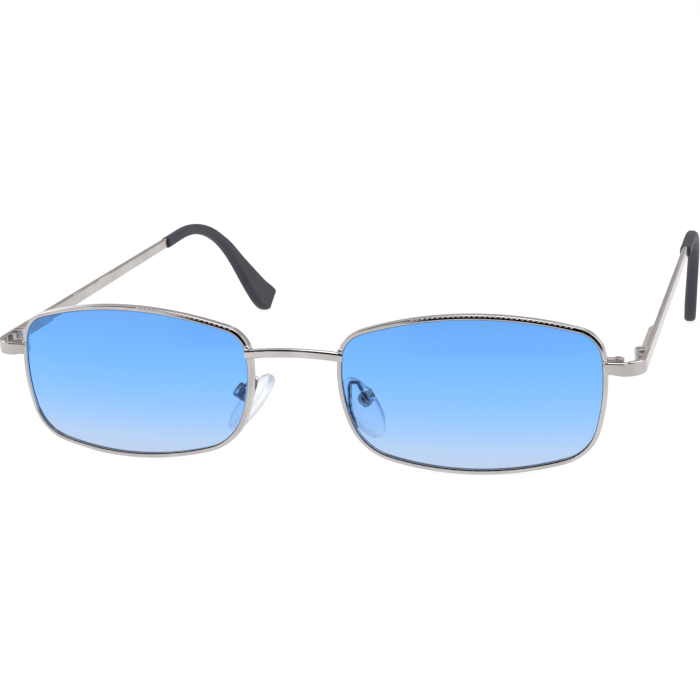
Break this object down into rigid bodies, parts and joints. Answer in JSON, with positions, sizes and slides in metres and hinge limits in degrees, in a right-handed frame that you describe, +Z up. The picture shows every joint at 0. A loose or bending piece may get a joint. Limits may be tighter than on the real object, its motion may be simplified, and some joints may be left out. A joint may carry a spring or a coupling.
{
  "type": "sunglasses",
  "caption": "Narrow rectangle sunglasses: slim wire rims, blue gradient lenses, bar bridge, rocking nose pads on wire arms, folding temples with ear tips.",
  "frame": {"origin": "middle of the footprint, on the surface that the glasses stand on, open, on both rims and both temple tips", "axes": "+X towards the wearer's left, +Y from the lenses back along the open temples, +Z up"},
  "size_m": [0.135, 0.145, 0.0316],
  "materials": {
    "rim_metal": "polished silver plating",
    "temple_metal": "polished silver plating",
    "hinge_metal": "plated, tumbled",
    "screw_steel": "turned, plated",
    "tinted_lens": "blue gradient tint, polished",
    "pad_silicone": "clear, smooth",
    "tip_sleeve": "satin"
  },
  "bodies": {
    "front": {"bridge": "rim_metal", "rim_left": "rim_metal", "lens_left": "tinted_lens", "end_piece_left": "rim_metal", "closing_block_lower_left": "rim_metal", "closing_block_upper_left": "rim_metal", "closing_screw_left": "screw_steel", "hinge_front_left": "hinge_metal", "hinge_screw_left": "screw_steel", "pad_arm_left": "rim_metal", "pad_box_left": "rim_metal", "pad_screw_left": "screw_steel", "rim_right": "rim_metal", "lens_right": "tinted_lens", "end_piece_right": "rim_metal", "closing_block_lower_right": "rim_metal", "closing_block_upper_right": "rim_metal", "closing_screw_right": "screw_steel", "hinge_front_right": "hinge_metal", "hinge_screw_right": "screw_steel", "pad_arm_right": "rim_metal", "pad_box_right": "rim_metal", "pad_screw_right": "screw_steel"},
    "left_temple": {"temple_left": "temple_metal", "temple_tip_left": "tip_sleeve", "hinge_temple_left": "hinge_metal"},
    "left_nose_pad": {"nose_pad_left": "pad_silicone"},
    "right_temple": {"temple_right": "temple_metal", "temple_tip_right": "tip_sleeve", "hinge_temple_right": "hinge_metal"},
    "right_nose_pad": {"nose_pad_right": "pad_silicone"}
  },
  "joints": [
    {"name": "left_temple_fold", "type": "hinge", "parent": "front", "child": "left_temple", "pos_m": [0.06565, -0.05779, 0.02148], "axis": [0, -0.083, 0.9966], "range_deg": [0, 89]},
    {"name": "right_temple_fold", "type": "hinge", "parent": "front", "child": "right_temple", "pos_m": [-0.06565, -0.05779, 0.02148], "axis": [0, 0.083, -0.9966], "range_deg": [0, 82]},
    {"name": "left_pad_rock", "type": "hinge", "parent": "front", "child": "left_nose_pad", "pos_m": [0.0128, -0.0651, 0.01305], "axis": [-0.5954, -0.7901, -0.1462], "range_deg": [-10, 10]},
    {"name": "right_pad_rock", "type": "hinge", "parent": "front", "child": "right_nose_pad", "pos_m": [-0.0128, -0.0651, 0.01305], "axis": [-0.5954, 0.7901, 0.1462], "range_deg": [-10, 10]}
  ]
}
